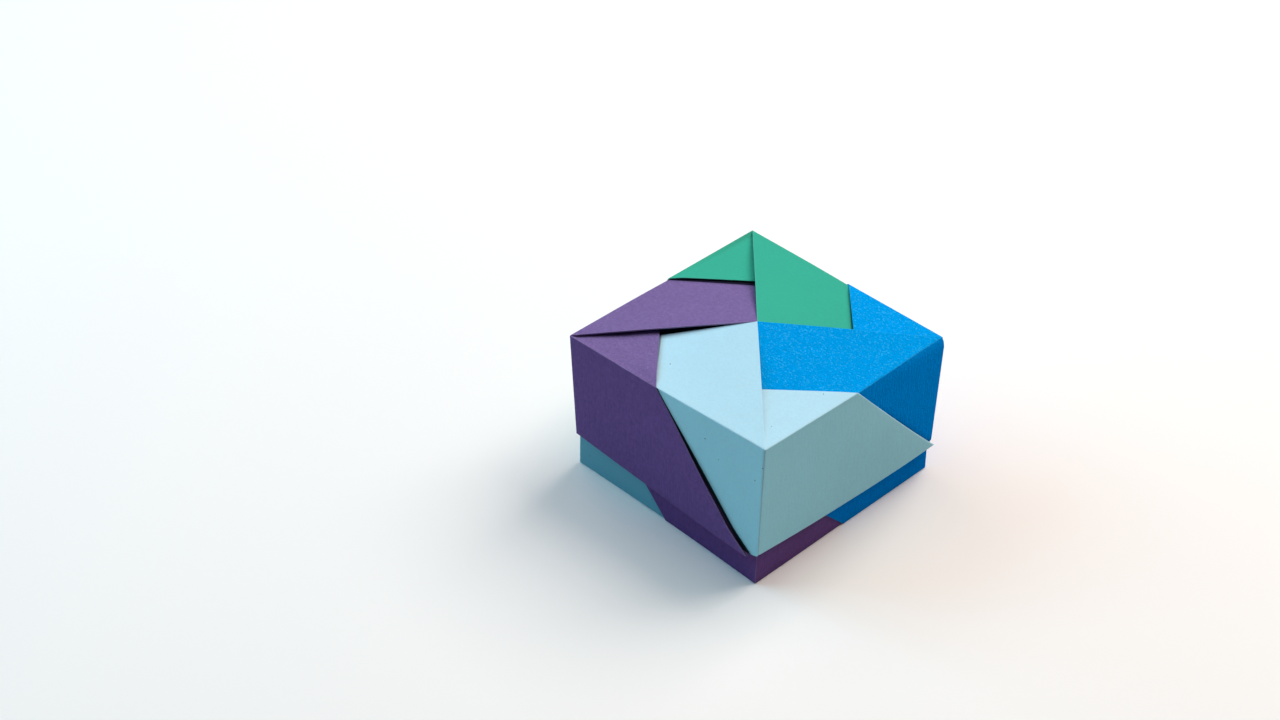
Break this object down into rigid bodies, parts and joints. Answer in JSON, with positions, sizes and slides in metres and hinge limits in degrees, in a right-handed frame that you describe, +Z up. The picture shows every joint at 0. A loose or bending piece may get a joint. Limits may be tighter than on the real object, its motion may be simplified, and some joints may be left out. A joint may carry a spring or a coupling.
{
  "type": "origami box",
  "caption": "Square folded-paper box with a loose lid; each half is woven from folded sheets in a pinwheel of colours.",
  "frame": {"origin": "middle of the base's flat underside, on the surface that the box stands on", "axes": "+Z up, the way the lid lifts; +X and +Y square to the walls"},
  "size_m": [0.0708, 0.0718, 0.0499],
  "materials": {
    "purple_paper": "matte coloured craft paper, dusky purple",
    "light_blue_paper": "matte coloured craft paper, pale sky blue",
    "blue_paper": "matte coloured craft paper, strong cobalt blue",
    "green_paper": "matte coloured craft paper, sea green"
  },
  "bodies": {
    "base": {"base_sheet_green": "green_paper", "base_sheet_blue": "blue_paper", "base_sheet_purple": "purple_paper", "base_sheet_light_blue": "light_blue_paper"},
    "lid": {"lid_sheet_purple": "purple_paper", "lid_sheet_light_blue": "light_blue_paper", "lid_sheet_blue": "blue_paper", "lid_sheet_green": "green_paper"}
  },
  "joints": [
    {"name": "lid_lift", "type": "slide", "parent": "base", "child": "lid", "axis": [0, 0, 1], "range_m": [-0.0075, 0.045]}
  ]
}
